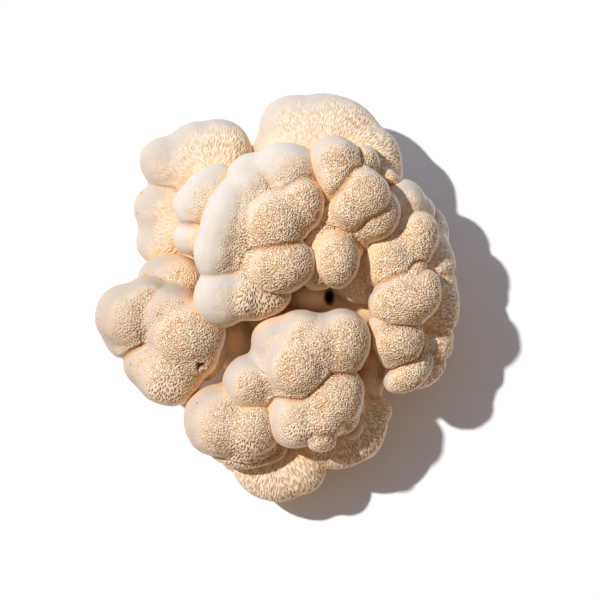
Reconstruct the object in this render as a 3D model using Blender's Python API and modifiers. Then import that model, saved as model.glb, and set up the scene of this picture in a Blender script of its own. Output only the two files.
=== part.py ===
"""A lion's mane mushroom: one picked cluster, standing on its cut stem.

The stem forks into heads, which are lumpy like cauliflower. Low flat heads, the
fans, spread near the ground, and thick ones crowd over them. Each head is its own
solid, grown from overlapping round lumps, and ends against its neighbours and the
stem. Frame: origin at the middle of the cut foot, +Z up, +Y towards the top fan.
"""

import math

import bmesh
import bpy
from mathutils import Matrix, Vector

MM = 0.001

SEAM = 0.4 * MM  # between pieces that grew together
VOXEL = 1.3 * MM  # grid that melts the lumps of a head into one skin
SOFTEN = 0.5  # rounding of the creases between lumps
SOFTEN_TIMES = 2
THIN = 0.055  # share of the skin's triangles that is kept
THIN_STEM = 0.04
SHARP_ANGLE = math.radians(50)
BUN = 2.4  # how flat a lump is on top: 2 is a ball, more is a bun
BALL_CUTS = 4  # fineness of the balls that lumps are made from
LIMB_SIDES = 24
CLEFT_SIDES = 12
SLIVER = 0.02 * MM  # edges shorter than this are closed up

# A lump is (x, y, z, radius x, radius y, radius z, turn about Z in degrees), in mm.
# The heads stand in the order of who keeps its shape: each is cut back by those
# above it in this list.
HEADS = {
    "head_upper_left": [
        (-17.8, 25.5, 40, 8.6, 16, 12.5, -18),  # long smooth shoulder
        (-20.6, 16, 39.5, 8, 9.6, 12, 0),
        (-10, 37, 39.5, 8.5, 6.5, 11, 20),
        (-13.8, 24.5, 39.5, 6.5, 13, 12, -12),
        (2, 42.8, 40, 11.3, 9.2, 11, 0),
        (-9.5, 42.2, 37.5, 9, 6.4, 9.5, 15),
        (-1.5, 25.5, 45, 11, 10.2, 11, 20),  # crown
        (7.3, 31.7, 43, 7.7, 9.8, 10.5, 0),
        (0.6, 11.8, 44, 11.2, 9.4, 11, 10),
        (-19.3, 1, 39, 9.3, 10.3, 11.5, 0),
        (-13, 1, 40, 7.5, 7.5, 10, 0),
        (-7, 1, 38, 11.5, 7.8, 9.5, 12),  # frill over the middle gap
        (-8, 20, 35, 15.5, 19, 14, 0),  # flesh below
    ],
    "head_front": [
        (-1, -13.5, 36.5, 8.8, 8.2, 11, 30),
        (7.5, -12, 39.5, 9.3, 9.2, 11, 0),
        (20.2, -13.5, 39.5, 10, 11, 11, 0),
        (5.5, -22, 41.5, 10.4, 9.8, 11, 0),  # crown
        (13.5, -13.8, 41, 8, 8, 10.3, 0),
        (-10, -27.2, 35.5, 9.2, 9.2, 11, 0),
        (13.3, -45.6, 37.5, 5.5, 4.7, 6.5, -5),
        (17, -32.5, 37, 10.6, 10, 11, 0),
        (5, -39.8, 36.5, 9.8, 9.6, 10.5, 0),
        (13.5, -38.5, 37, 9, 9, 10, 0),
        (20, -38, 33.5, 6.3, 6.5, 8, 20),
        (19.8, -29.8, 36.5, 8.4, 7.8, 10.3, 0),
        (19.8, -34.5, 30.5, 8.7, 9.5, 6, 0),  # skirt under the right rim
        (23.6, -42.6, 29, 4.8, 4.3, 4.5, 30),  # thin lip
        (6, -25, 32, 14, 17, 13.5, 0),  # flesh below
    ],
    "head_upper_middle": [
        (18, 45.7, 42, 8.7, 8.8, 10, 0),
        (18.5, 40.8, 43.5, 6, 7.4, 9.5, -10),
        (26.8, 34.3, 45, 9.6, 9, 10.5, 0),  # crown
        (23.5, 30, 44, 7, 6.8, 10, 0),
        (30.8, 28.9, 41.5, 9, 9.4, 9, 0),
        (27.3, 45.8, 37.5, 5.7, 5.8, 7.5, 0),
        (36, 41.5, 33, 5, 2.4, 4.5, -35),
        (18.6, 13.4, 42, 7.9, 9.5, 10, 0),
        (13.2, 8.4, 38, 6.8, 5.4, 8.5, 0),
        (14, 27, 37, 6, 8, 9, 0),  # flesh below
        (12, 18, 36, 5, 6, 9, 0),  # flesh below
        (22, 28, 33, 12, 18, 11, -15),  # flesh below
    ],
    "head_right": [
        (36.5, 13.5, 34.5, 8.8, 8.6, 10, 15),
        (44.8, 20.3, 33, 7.9, 9.9, 10, -25),
        (41, 22, 31, 7, 6, 8, 0),
        (34.5, 9.5, 34, 6.5, 5.8, 9, 0),
        (35.5, 24.5, 33, 7, 7, 8.5, 0),
        (45.4, 9.4, 35.5, 3.8, 3.4, 7, 20),
        (41.5, 0.2, 38.5, 12.4, 8.9, 10.5, 14),
        (47.5, 4, 37.5, 6, 7, 9.5, 0),
        (38.8, -13, 35.3, 8.9, 7.9, 9.5, 0),
        (36.8, -18, 33.5, 4.5, 4.5, 7, 0),
        (33.4, -8.6, 35, 5, 4, 9, 0),
        (42.2, -25, 31, 8.4, 5.4, 8, 28),
        (45.6, -21.5, 28.5, 5.6, 6, 7, 0),
        (44.5, -14, 30, 5, 6, 7.5, 0),
        (25, 5.2, 27, 9, 6.3, 8, -15),  # shelf in the middle gap
        (29, 13.5, 30, 4.6, 8, 8, 0),
        (39, 0, 28, 9, 22, 9, 0),  # flesh below
    ],
    "head_left": [
        (-30.8, -11, 34, 12.8, 11.3, 12, 0),
        (-28.5, -17.5, 31.5, 8.6, 8.5, 10.5, 0),
        (-37, -4.5, 32.3, 10.2, 9.6, 11, 0),
        (-51, -5.5, 30, 10.6, 11.3, 12, 0),
        (-50, -11, 27, 9.3, 9, 10, 0),
        (-45, 0.5, 31.5, 9, 6.7, 10, 10),
        (-43.8, -20.5, 27.5, 9.2, 9.2, 10, 0),
        (-37, -24.5, 29, 11.4, 10.8, 11.5, 0),
        (-28, -17, 26, 10.4, 10.2, 6.5, 0),  # skirt under the right rim
        (-36, -26, 23, 10.5, 9.6, 6, 0),  # skirt under the lower rim
        (-36.5, 7, 24, 11.2, 8.6, 9, 0),
        (-37, -10, 24, 14, 14, 13, 0),  # flesh below
    ],
    "head_lower_left": [
        (-20, -40, 32, 12.2, 12.2, 12, 0),
        (-9.5, -42.5, 33, 10, 9.5, 12, 0),
        (-11, -48, 31, 10, 6, 8, -3),
        (-11.5, -48.3, 29, 14.3, 8.2, 5.5, -2),  # skirt
        (-12, -36, 24, 12, 12, 11, 0),  # flesh below
    ],
    "bud_upper_left": [
        (-24.3, 34.8, 34, 12.2, 8.3, 9.5, 48),
        (-30.5, 31.5, 32.5, 5, 6.5, 8, 0),
        (-28.6, 21, 32, 7, 6.2, 8.5, 0),
        (-23, 28, 28, 8, 12, 9, -20),  # flesh below
    ],
    "fan_bottom_right": [
        (18.8, -40.6, 23, 17.2, 16.3, 8, 0),
        (25, -44.5, 21, 10.3, 10, 7, -20),
        (32.3, -37.5, 21.5, 5.3, 5, 7, 0),
        (30, -28, 21.5, 5.4, 7.3, 8, 0),
        (30.5, -19, 21, 6.5, 8, 8, 0),
        (19, -30, 17, 11, 12, 9, 0),  # flesh below
    ],
    "fan_top": [
        (5, 57, 24.5, 12.5, 11.9, 8.5, 0),
        (15, 46.3, 25.8, 22, 23, 9, 0),
        (26, 44, 26.3, 15.2, 16.8, 9, 0),
        (-4.5, 51, 22, 5, 5, 7, 0),
        (16, 36, 18, 14, 15, 8.5, 0),  # flesh below
    ],
    "fan_upper_left": [
        (-21.3, 47.3, 22, 12.6, 13.9, 9.5, 0),
        (-29, 47.5, 21, 10.5, 12, 9, 0),
        (-37, 46.3, 20, 10.5, 8.8, 8.5, -8),
        (-27.5, 52, 21.5, 7.5, 8.3, 8.5, 0),
        (-34, 26.5, 18, 14.2, 13, 8.5, 0),
        (-39.3, 30.6, 18, 10.2, 9.3, 8.5, 0),
        (-39.3, 20, 17, 9.5, 8.5, 8.5, 0),
        (-24, 29, 16, 13, 18, 9.5, 0),  # flesh below
        (-29, 15, 15, 9, 8, 8, 0),  # flesh below
    ],
    "fan_right": [
        (41, 32, 29, 7.9, 8.4, 10, 0),
        (45.3, 29.5, 26, 6.3, 6.8, 8, 0),
        (46, 22.5, 21, 10.5, 12, 8, 25),
        (48, 12, 26, 10.3, 13, 8, 0),
        (48.2, -1.5, 26.5, 12.2, 13.5, 8, 0),
        (48.6, 5.5, 26, 10.7, 8, 7.5, 0),
        (46.8, -12.5, 25, 11.5, 11.5, 7.8, -10),
        (46.3, -21.8, 24, 9.8, 7.9, 7.5, 10),
    ],
    "fan_bottom_left": [
        (-1.5, -54.6, 16.8, 14.8, 13.6, 8.5, 0),
        (6.8, -55.8, 20.5, 8.4, 9.7, 8, 20),
        (-16, -55, 16.5, 3.6, 2.8, 5, 0),
        (0, -45, 16, 9, 9, 8, 0),  # flesh below
    ],
}

# The stem: lumps round the cut foot, and a limb from the middle of them into each
# head, as (x, y, z, end radius), in mm.
TRUNK = [
    (1, -1, 0, 24.5, 21.5, 17, 0),  # the foot is the cut through its middle
    (2, 0, 11, 30, 28, 8, 0),
    (9, 1, 20, 8, 6.5, 12, 0),  # column in the middle gap
    (-15.5, -13, 13, 7.5, 12, 13, 10),  # neck towards the left head
    (-5.5, -5, 13, 6.5, 8, 11, 0),
]
CLEFT = (16.6, 1.0, 19.0, 2.2, 3.8, 22.0)  # deep dark gap: x, y, z, width and length / 2, depth
CLEFT_FLOOR = 0.3  # size of the cleft's bottom beside its mouth
LIMB_START = (1.0, -2.0, 12.0)
LIMB_START_RADIUS = 11.0
LIMBS = {
    "head_upper_left": (-8, 16, 18, 11),
    "head_front": (5, -21, 17, 10),
    "head_upper_middle": (20, 24, 17, 9),
    "head_right": (36, -1, 16.5, 8.5),
    "head_left": (-29, -9, 11, 8),
    "head_lower_left": (-12, -31, 11.5, 7),
    "bud_upper_left": (-20, 24, 19, 8),
    "fan_bottom_right": (18, -27, 9.5, 6.5),
    "fan_top": (14, 29, 11, 7.5),
    "fan_upper_left": (-20, 24, 8.5, 7),
    "fan_right": (46, 0, 15, 6.5),
    "fan_bottom_left": (0, -38, 9, 6),
}

SKIN_COLOUR = (0.88, 0.74, 0.57, 1.0)
STEM_COLOUR = (0.80, 0.60, 0.42, 1.0)
ROUGHNESS = 0.8


def clear_scene():
    for obj in list(bpy.data.objects):
        bpy.data.objects.remove(obj)


def flesh_material(name, colour):
    material = bpy.data.materials.new(name + "_flesh")
    material.use_nodes = True
    shader = material.node_tree.nodes["Principled BSDF"]
    shader.inputs["Base Color"].default_value = colour
    shader.inputs["Roughness"].default_value = ROUGHNESS
    shader.inputs["Metallic"].default_value = 0.0
    return material


def add_lump(bm, x, y, z, radius_x, radius_y, radius_z, turn):
    """A bun: round from above, and flatter on top and below than a ball."""
    ball = bmesh.ops.create_icosphere(bm, subdivisions=BALL_CUTS, radius=1.0)
    for vert in ball["verts"]:
        across = min(1.0, math.hypot(vert.co.x, vert.co.y))
        height = (1 - across**BUN) ** (1 / BUN)
        vert.co.z = math.copysign(height, vert.co.z)
    place = Matrix.Translation(Vector((x, y, z)) * MM)
    place = place @ Matrix.Rotation(math.radians(turn), 4, "Z")
    place = place @ Matrix.Diagonal((radius_x * MM, radius_y * MM, radius_z * MM, 1.0))
    bmesh.ops.transform(bm, matrix=place, verts=ball["verts"])


def add_limb(bm, start, start_radius, end, end_radius):
    """A tapered limb from start to end, round at both ends."""
    along = Vector(end) - Vector(start)
    turn = Vector((0, 0, 1)).rotation_difference(along).to_matrix().to_4x4()
    middle = Matrix.Translation((Vector(start) + Vector(end)) / 2 * MM)
    bmesh.ops.create_cone(
        bm,
        cap_ends=True,
        segments=LIMB_SIDES,
        radius1=start_radius * MM,
        radius2=end_radius * MM,
        depth=along.length * MM,
        matrix=middle @ turn,
    )
    add_lump(bm, *start, start_radius, start_radius, start_radius, 0)
    add_lump(bm, *end, end_radius, end_radius, end_radius, 0)


def new_object(name, mesh, collection):
    obj = bpy.data.objects.new(name, mesh)
    collection.objects.link(obj)
    return obj


def as_modelled(obj):
    """The mesh that obj's modifiers make of it."""
    graph = bpy.context.evaluated_depsgraph_get()
    return bpy.data.meshes.new_from_object(obj.evaluated_get(graph))


def melted(name, bm, kept, collection):
    """One closed skin round the shapes in bm, with this share of its triangles."""
    mesh = bpy.data.meshes.new(name)
    bm.to_mesh(mesh)
    bm.free()
    obj = new_object(name + "_rough", mesh, collection)
    remesh = obj.modifiers.new("Melt", "REMESH")
    remesh.mode = "VOXEL"
    remesh.voxel_size = VOXEL
    soften = obj.modifiers.new("Soften", "SMOOTH")
    soften.factor = SOFTEN
    soften.iterations = SOFTEN_TIMES
    thin = obj.modifiers.new("Thin", "DECIMATE")
    thin.ratio = kept
    thin.use_collapse_triangulate = True
    coarse = as_modelled(obj)
    bpy.data.objects.remove(obj)
    return coarse


def keep_largest(bm):
    """Deletes every loose island of bm but the one with the most faces."""
    islands = []
    left = set(bm.verts)
    while left:
        island, edge = set(), {left.pop()}
        while edge:
            island |= edge
            edge = {e.other_vert(v) for v in edge for e in v.link_edges} - island
        left -= island
        islands.append(island)
    islands.sort(key=len)
    for island in islands[:-1]:
        bmesh.ops.delete(bm, geom=list(island), context="VERTS")


def boxes_meet(first, second):
    """Whether the boxes round two meshes overlap, with room for the seam."""
    for axis in range(3):
        a = [v.co[axis] for v in first.vertices]
        b = [v.co[axis] for v in second.vertices]
        if min(a) > max(b) + 2 * SEAM or min(b) > max(a) + 2 * SEAM:
            return False
    return True


def add_cutter(name, mesh, collection):
    """A copy of a head, larger all round by the seam."""
    cutter = new_object(name + "_cutter", mesh, collection)
    swell = cutter.modifiers.new("Swell", "DISPLACE")
    swell.mid_level = 0.0
    swell.strength = SEAM
    cutter.hide_render = True
    cutter.display_type = "WIRE"
    return cutter


def add_cleft(collection):
    """The wedge that the deep gap in the stem is cut with."""
    x, y, z, half_width, half_length, depth = CLEFT
    place = Matrix.Translation(Vector((x, y, z)) * MM)
    place = place @ Matrix.Diagonal((half_width * MM, half_length * MM, depth * MM, 1.0))
    bm = bmesh.new()
    bmesh.ops.create_cone(
        bm,
        cap_ends=True,
        segments=CLEFT_SIDES,
        radius1=CLEFT_FLOOR,
        radius2=1.0,
        depth=1.0,
        matrix=place,
    )
    mesh = bpy.data.meshes.new("cleft")
    bm.to_mesh(mesh)
    bm.free()
    cleft = new_object("cleft_cutter", mesh, collection)
    cleft.hide_render = True
    cleft.display_type = "WIRE"
    return cleft


def add_piece(name, mesh, cutters, colour, collection):
    """The solid of one piece: its mesh less the pieces that it grew against."""
    rough = new_object(name + "_whole", mesh, collection)
    for cutter in cutters:
        if boxes_meet(mesh, cutter.data):
            cut = rough.modifiers.new("Less " + cutter.name, "BOOLEAN")
            cut.operation = "DIFFERENCE"
            cut.object = cutter
    solid = as_modelled(rough)
    bpy.data.objects.remove(rough)
    bm = bmesh.new()
    bm.from_mesh(solid)
    bmesh.ops.dissolve_degenerate(bm, edges=bm.edges, dist=SLIVER)
    keep_largest(bm)
    bmesh.ops.triangulate(bm, faces=bm.faces)
    bm.to_mesh(solid)
    bm.free()
    solid.materials.clear()
    solid.materials.append(flesh_material(name, colour))
    solid.shade_smooth()
    solid.set_sharp_from_angle(angle=SHARP_ANGLE)
    solid.name = name
    return new_object(name, solid, collection)


def head_mesh(name, lumps, collection):
    bm = bmesh.new()
    for lump in lumps:
        add_lump(bm, *lump)
    return melted(name, bm, THIN, collection)


def stem_mesh(collection):
    bm = bmesh.new()
    for lump in TRUNK:
        add_lump(bm, *lump)
    for end in LIMBS.values():
        add_limb(bm, LIMB_START, LIMB_START_RADIUS, end[:3], end[3])
    mesh = melted("stem", bm, THIN_STEM, collection)
    bm = bmesh.new()
    bm.from_mesh(mesh)
    whole = list(bm.verts) + list(bm.edges) + list(bm.faces)
    cut = bmesh.ops.bisect_plane(
        bm, geom=whole, plane_co=(0, 0, 0), plane_no=(0, 0, 1), clear_inner=True
    )
    rim = [g for g in cut["geom_cut"] if isinstance(g, bmesh.types.BMEdge)]
    bmesh.ops.holes_fill(bm, edges=rim)
    bm.to_mesh(mesh)
    bm.free()
    return mesh


def build():
    clear_scene()
    scene = bpy.context.scene
    parts = bpy.data.collections.new("lions_mane_mushroom")
    helpers = bpy.data.collections.new("cutters")
    scene.collection.children.link(parts)
    scene.collection.children.link(helpers)

    cutters = []
    for name, lumps in HEADS.items():
        mesh = head_mesh(name, lumps, parts)
        add_piece(name, mesh, cutters, SKIN_COLOUR, parts)
        cutters.append(add_cutter(name, mesh, helpers))
    cutters.append(add_cleft(helpers))
    add_piece("stem", stem_mesh(parts), cutters, STEM_COLOUR, parts)


build()
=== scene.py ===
import math

import bmesh
import bpy
import numpy as np
from mathutils import Matrix, Vector, noise
from mathutils.kdtree import KDTree


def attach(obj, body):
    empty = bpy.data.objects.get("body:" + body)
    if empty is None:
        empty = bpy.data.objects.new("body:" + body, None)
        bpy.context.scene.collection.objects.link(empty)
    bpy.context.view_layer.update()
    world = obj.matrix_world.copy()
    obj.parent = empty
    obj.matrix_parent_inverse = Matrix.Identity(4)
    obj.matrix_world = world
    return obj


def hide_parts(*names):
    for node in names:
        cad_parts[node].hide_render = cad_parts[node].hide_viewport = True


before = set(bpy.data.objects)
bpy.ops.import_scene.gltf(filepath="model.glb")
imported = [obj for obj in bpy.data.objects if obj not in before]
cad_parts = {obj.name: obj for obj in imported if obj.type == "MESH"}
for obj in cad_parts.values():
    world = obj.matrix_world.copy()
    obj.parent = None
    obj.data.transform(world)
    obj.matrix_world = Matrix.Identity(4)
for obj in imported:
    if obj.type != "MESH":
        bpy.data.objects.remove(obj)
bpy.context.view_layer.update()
mm = 0.001

# What every head shares
growth = {
    "bun": 2.4,  # how flat a lump is on top: 2 is a ball
    "ballCuts": 5,  # fineness of a lump's ball
    "grid": 1.0,  # mm, fineness of the melted skin
    "soften": 1,  # passes of smoothing over the melted skin
    "softenFine": 3,  # and over the finely cut skin
    "softenShare": 0.5,  # how far a point moves to its neighbours in each pass
    "evenPasses": 6,  # passes that even out which way the hollows are filled
    "plumpReach": 30,  # passes that find the hollows between lumps
    "plumpLobe": 1.0,  # how far those hollows are filled up within a lobe
    "plumpHead": 0.8,  # and between lobes
    "plumpMost": 4.0,  # mm
    "touching": (5.0, 3.0),  # mm from the next lobe where a crease begins and is full
    "ledge": 0.6,  # mm, how far a lobe stands over the one that it presses on
    "ledgeRise": 0.35,  # mm, over which it rises and then fades
    "ledgeFade": 1.8,
    "ledgeLit": 0.4,  # how much of it is left on a lobe's sunny side
    "groove": 0.75,  # mm, depth of the crease between them
    "grooveWidth": 0.5,
    "grooveLit": 0.3,
    "shadeWay": (0.8, -0.6),  # the side where lobes overhang most
    "shadeTurn": (-0.7, 0.5),  # facing that side where the overhang begins and is full
    "swellSize": 9.0,  # mm, size of the soft unevenness
    "swellDepth": 0.5,  # mm
    "dimpleSize": 3.0,
    "dimpleDepth": 0.15,
    "droop": (0.40, -0.34, 0.85),  # the side that faced down as it grew, where teeth hang
    "barest": 0.95,  # facing needed for teeth on a bare lump
    "fullest": -0.3,  # facing needed on a fully toothed lump
    "bareBlend": 12,  # how sharply one lump's bareness goes over to the next
    "bareCurve": 0.45,  # below 1 a little bareness counts for more
    "onset": 0.38,  # how gently the teeth come in
    "flanks": 0.45,  # how much the flank of each lump keeps its own facing
    "underRim": (0.05, 0.4),  # facing up where teeth begin over a rim and are full
    "edgeNoise": 0.14,  # how ragged the edge of the teeth is
    "edgeSize": 5.0,  # mm
    "fineEdgeSize": 1.8,
    "fineEdgeShare": 0.5,
}

# A head is a list of lobes, the upper ones first, and a lobe a list of lumps that melted
# softly together. The flesh lies under them. Pale is how white the bare skin is. A soft
# seam is two lobes and the share of the crease that shows between them. A comb draws the
# teeth out away from its middle, where they lie within its reach of from, and its strands
# meet on its seam, in degrees.
# A lump: x, y, z, radius x, radius y, radius z in mm, turn in degrees, and bareness, where 0
# is all teeth and 1 or more bare skin
headUpperLeft = {
    "node": "head_upper_left",
    "pale": 1.0,
    "lobes": [
        [
            (-17.8, 25.5, 40, 8.6, 16, 12.5, -18, 1.2), (-20.6, 16, 39.5, 8, 9.6, 12, 0, 1.2),
            (-10, 37, 39.5, 8.5, 6.5, 11, 20, 0.85), (-13.8, 24.5, 39.5, 6.5, 13, 12, -12, 0.5),
        ],
        [(2, 42.8, 40, 11.3, 9.2, 11, 0, 0.75), (-9.5, 42.2, 37.5, 9, 6.4, 9.5, 15, 1)],
        [(-1.5, 25.5, 45, 11, 10.2, 11, 20, 0.1), (7.3, 31.7, 43, 7.7, 9.8, 10.5, 0, 0.15)],
        [(0.6, 11.8, 44, 11.2, 9.4, 11, 10, 0.05)],
        [
            (-19.3, 1, 39, 9.3, 10.3, 11.5, 0, 1.15), (-13, 1, 40, 7.5, 7.5, 10, 0, 0.4),
            (-7, 1, 38, 11.5, 7.8, 9.5, 12, 0.05),
        ],
    ],
    "flesh": [(-8, 20, 35, 15.5, 19, 14, 0, 0.4)],
    "softSeams": [(0, 1, 0.8), (0, 2, 0.2), (0, 3, 0.4), (1, 2, 0.5), (0, 4, 0.5)],
    "combs": [
        {"middle": (-9, 8), "from": (-7, -3), "reach": 9, "stretch": 3.6, "seam": 90},
    ],
}

headFront = {
    "node": "head_front",
    "pale": 0.5,
    "lobes": [
        [
            (-1, -13.5, 36.5, 8.8, 8.2, 11, 30, 0.8), (7.5, -12, 39.5, 9.3, 9.2, 11, 0, 0.45),
            (20.2, -13.5, 39.5, 10, 11, 11, 0, 0.3), (5.5, -22, 41.5, 10.4, 9.8, 11, 0, 0.2),
            (13.5, -13.8, 41, 8, 8, 10.3, 0, 0.35),
        ],
        [(-10, -27.2, 35.5, 9.2, 9.2, 11, 0, 0.55)],
        [(13.3, -45.6, 37.5, 5.5, 4.7, 6.5, -5, 0.35)],
        [
            (17, -32.5, 37, 10.6, 10, 11, 0, 0.1), (5, -39.8, 36.5, 9.8, 9.6, 10.5, 0, 0.5),
            (13.5, -38.5, 37, 9, 9, 10, 0, 0.1), (20, -38, 33.5, 6.3, 6.5, 8, 20, 0.1),
            (19.8, -29.8, 36.5, 8.4, 7.8, 10.3, 0, 0.1),
        ],
        [(19.8, -34.5, 30.5, 8.7, 9.5, 6, 0, 0.9)],
        [(23.6, -42.6, 29, 4.8, 4.3, 4.5, 30, 1.3)],
    ],
    "flesh": [(6, -25, 32, 14, 17, 13.5, 0, 0.4)],
    "softSeams": [(0, 1, 0.25), (2, 3, 0.7)],
    "combs": [
        {"middle": (8, -34), "from": (6, -47), "reach": 7, "stretch": 2.2, "seam": 90},
    ],
}

headUpperMiddle = {
    "node": "head_upper_middle",
    "pale": 0.5,
    "lobes": [
        [(18, 45.7, 42, 8.7, 8.8, 10, 0, 0.35), (18.5, 40.8, 43.5, 6, 7.4, 9.5, -10, 0.15)],
        [(26.8, 34.3, 45, 9.6, 9, 10.5, 0, 0.1), (23.5, 30, 44, 7, 6.8, 10, 0, 0.1)],
        [(30.8, 28.9, 41.5, 9, 9.4, 9, 0, 0.1)],
        [(27.3, 45.8, 37.5, 5.7, 5.8, 7.5, 0, 0.35)],
        [(36, 41.5, 33, 5, 2.4, 4.5, -35, 0.5)],
        [(18.6, 13.4, 42, 7.9, 9.5, 10, 0, 0.1)],
        [(13.2, 8.4, 38, 6.8, 5.4, 8.5, 0, 0.35)],
    ],
    "flesh": [
        (14, 27, 37, 6, 8, 9, 0, 0.2), (12, 18, 36, 5, 6, 9, 0, 0.2),
        (22, 28, 33, 12, 18, 11, -15, 0.4),
    ],
    "softSeams": [(1, 2, 0.6)],
    "combs": [],
}

headRight = {
    "node": "head_right",
    "pale": 0.4,
    "lobes": [
        [
            (36.5, 13.5, 34.5, 8.8, 8.6, 10, 15, 0.1), (44.8, 20.3, 33, 7.9, 9.9, 10, -25, 0.2),
            (41, 22, 31, 7, 6, 8, 0, 0.2), (34.5, 9.5, 34, 6.5, 5.8, 9, 0, 0.1),
            (35.5, 24.5, 33, 7, 7, 8.5, 0, 0.1),
        ],
        [(45.4, 9.4, 35.5, 3.8, 3.4, 7, 20, 0.1)],
        [(41.5, 0.2, 38.5, 12.4, 8.9, 10.5, 14, 0.05), (47.5, 4, 37.5, 6, 7, 9.5, 0, 0.05)],
        [
            (38.8, -13, 35.3, 8.9, 7.9, 9.5, 0, 0.15), (36.8, -18, 33.5, 4.5, 4.5, 7, 0, 0.2),
            (33.4, -8.6, 35, 5, 4, 9, 0, 0.8),
        ],
        [(42.2, -25, 31, 8.4, 5.4, 8, 28, 0.2), (45.6, -21.5, 28.5, 5.6, 6, 7, 0, 0.2)],
        [(44.5, -14, 30, 5, 6, 7.5, 0, 0.2)],
        [(25, 5.2, 27, 9, 6.3, 8, -15, 0.45), (29, 13.5, 30, 4.6, 8, 8, 0, 0.2)],
    ],
    "flesh": [(39, 0, 28, 9, 22, 9, 0, 0.5)],
    "softSeams": [],
    "combs": [],
}

headLeft = {
    "node": "head_left",
    "pale": 0.0,
    "lobes": [
        [
            (-30.8, -11, 34, 12.8, 11.3, 12, 0, 0.2), (-28.5, -17.5, 31.5, 8.6, 8.5, 10.5, 0, 0.05),
            (-37, -4.5, 32.3, 10.2, 9.6, 11, 0, 0.55),
        ],
        [
            (-51, -5.5, 30, 10.6, 11.3, 12, 0, 0.65), (-50, -11, 27, 9.3, 9, 10, 0, 0.6),
            (-45, 0.5, 31.5, 9, 6.7, 10, 10, 0.5),
        ],
        [
            (-43.8, -20.5, 27.5, 9.2, 9.2, 10, 0, 0.65),
            (-37, -24.5, 29, 11.4, 10.8, 11.5, 0, 0.35),
        ],
        [(-28, -17, 26, 10.4, 10.2, 6.5, 0, 0.95)],
        [(-36, -26, 23, 10.5, 9.6, 6, 0, 0.8)],
        [(-36.5, 7, 24, 11.2, 8.6, 9, 0, 0.55)],
    ],
    "flesh": [(-37, -10, 24, 14, 14, 13, 0, 0.5)],
    "softSeams": [(0, 1, 0.4), (0, 2, 0.1), (0, 3, 0.5)],
    "combs": [
        {"middle": (-37, -18), "from": (-38, -35), "reach": 9, "stretch": 3.0, "seam": 90},
    ],
    "pit": {
        "at": (-26.2, -22.0),
        "radius": 1.7,
        "depth": 1.3,
        "floor": 0.4,  # how wide its floor is beside its mouth
        "ragged": 0.7,  # how ragged its edge is
        "raggedSize": 1.6,  # mm
    },
}

headLowerLeft = {
    "node": "head_lower_left",
    "pale": 0.1,
    "lobes": [
        [(-20, -40, 32, 12.2, 12.2, 12, 0, 0.5), (-9.5, -42.5, 33, 10, 9.5, 12, 0, 0.1)],
        [(-11, -48, 31, 10, 6, 8, -3, 0.05)],
        [(-11.5, -48.3, 29, 14.3, 8.2, 5.5, -2, 0.3)],
    ],
    "flesh": [(-12, -36, 24, 12, 12, 11, 0, 0.5)],
    "softSeams": [(0, 1, 0.2)],
    "combs": [
        {"middle": (-11, -36), "from": (-12, -54), "reach": 9, "stretch": 3.6, "seam": 90},
    ],
}

budUpperLeft = {
    "node": "bud_upper_left",
    "pale": 1.0,
    "lobes": [
        [(-24.3, 34.8, 34, 12.2, 8.3, 9.5, 48, 0.7), (-30.5, 31.5, 32.5, 5, 6.5, 8, 0, 0.9)],
        [(-28.6, 21, 32, 7, 6.2, 8.5, 0, 0.95)],
    ],
    "flesh": [(-23, 28, 28, 8, 12, 9, -20, 0.9)],
    "softSeams": [],
    "combs": [],
}

fanBottomRight = {
    "node": "fan_bottom_right",
    "pale": 0.1,
    "lobes": [
        [(18.8, -40.6, 23, 17.2, 16.3, 8, 0, 0.2), (25, -44.5, 21, 10.3, 10, 7, -20, 0.2)],
        [(32.3, -37.5, 21.5, 5.3, 5, 7, 0, 0.2)],
        [(30, -28, 21.5, 5.4, 7.3, 8, 0, 0.9), (30.5, -19, 21, 6.5, 8, 8, 0, 0.9)],
    ],
    "flesh": [(19, -30, 17, 11, 12, 9, 0, 0.5)],
    "softSeams": [(0, 1, 0.3)],
    "combs": [
        {"middle": (19, -34), "from": (19, -34), "reach": 60, "stretch": 4.5, "seam": 120},
    ],
}

fanTop = {
    "node": "fan_top",
    "pale": 0.6,
    "lobes": [
        [
            (5, 57, 24.5, 12.5, 11.9, 8.5, 0, 0.6), (15, 46.3, 25.8, 22, 23, 9, 0, 0.5),
            (26, 44, 26.3, 15.2, 16.8, 9, 0, 0.3), (-4.5, 51, 22, 5, 5, 7, 0, 0.8),
        ],
    ],
    "flesh": [(16, 36, 18, 14, 15, 8.5, 0, 0.5)],
    "softSeams": [],
    "combs": [
        {"middle": (15, 43), "from": (15, 45), "reach": 60, "stretch": 4.5, "seam": -90},
    ],
}

fanUpperLeft = {
    "node": "fan_upper_left",
    "pale": 0.4,
    "lobes": [
        [
            (-21.3, 47.3, 22, 12.6, 13.9, 9.5, 0, 0.4), (-29, 47.5, 21, 10.5, 12, 9, 0, 0.6),
            (-37, 46.3, 20, 10.5, 8.8, 8.5, -8, 0.85), (-27.5, 52, 21.5, 7.5, 8.3, 8.5, 0, 0.7),
        ],
        [
            (-34, 26.5, 18, 14.2, 13, 8.5, 0, 0.75), (-39.3, 30.6, 18, 10.2, 9.3, 8.5, 0, 0.8),
            (-39.3, 20, 17, 9.5, 8.5, 8.5, 0, 0.8),
        ],
    ],
    "flesh": [(-24, 29, 16, 13, 18, 9.5, 0, 0.5), (-29, 15, 15, 9, 8, 8, 0, 0.9)],
    "softSeams": [],
    "combs": [
        {"middle": (-21, 38), "from": (-26, 50), "reach": 30, "stretch": 5.5, "seam": -60},
        {"middle": (-22, 24), "from": (-38, 25), "reach": 17, "stretch": 5.0, "seam": 0},
    ],
}

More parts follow.
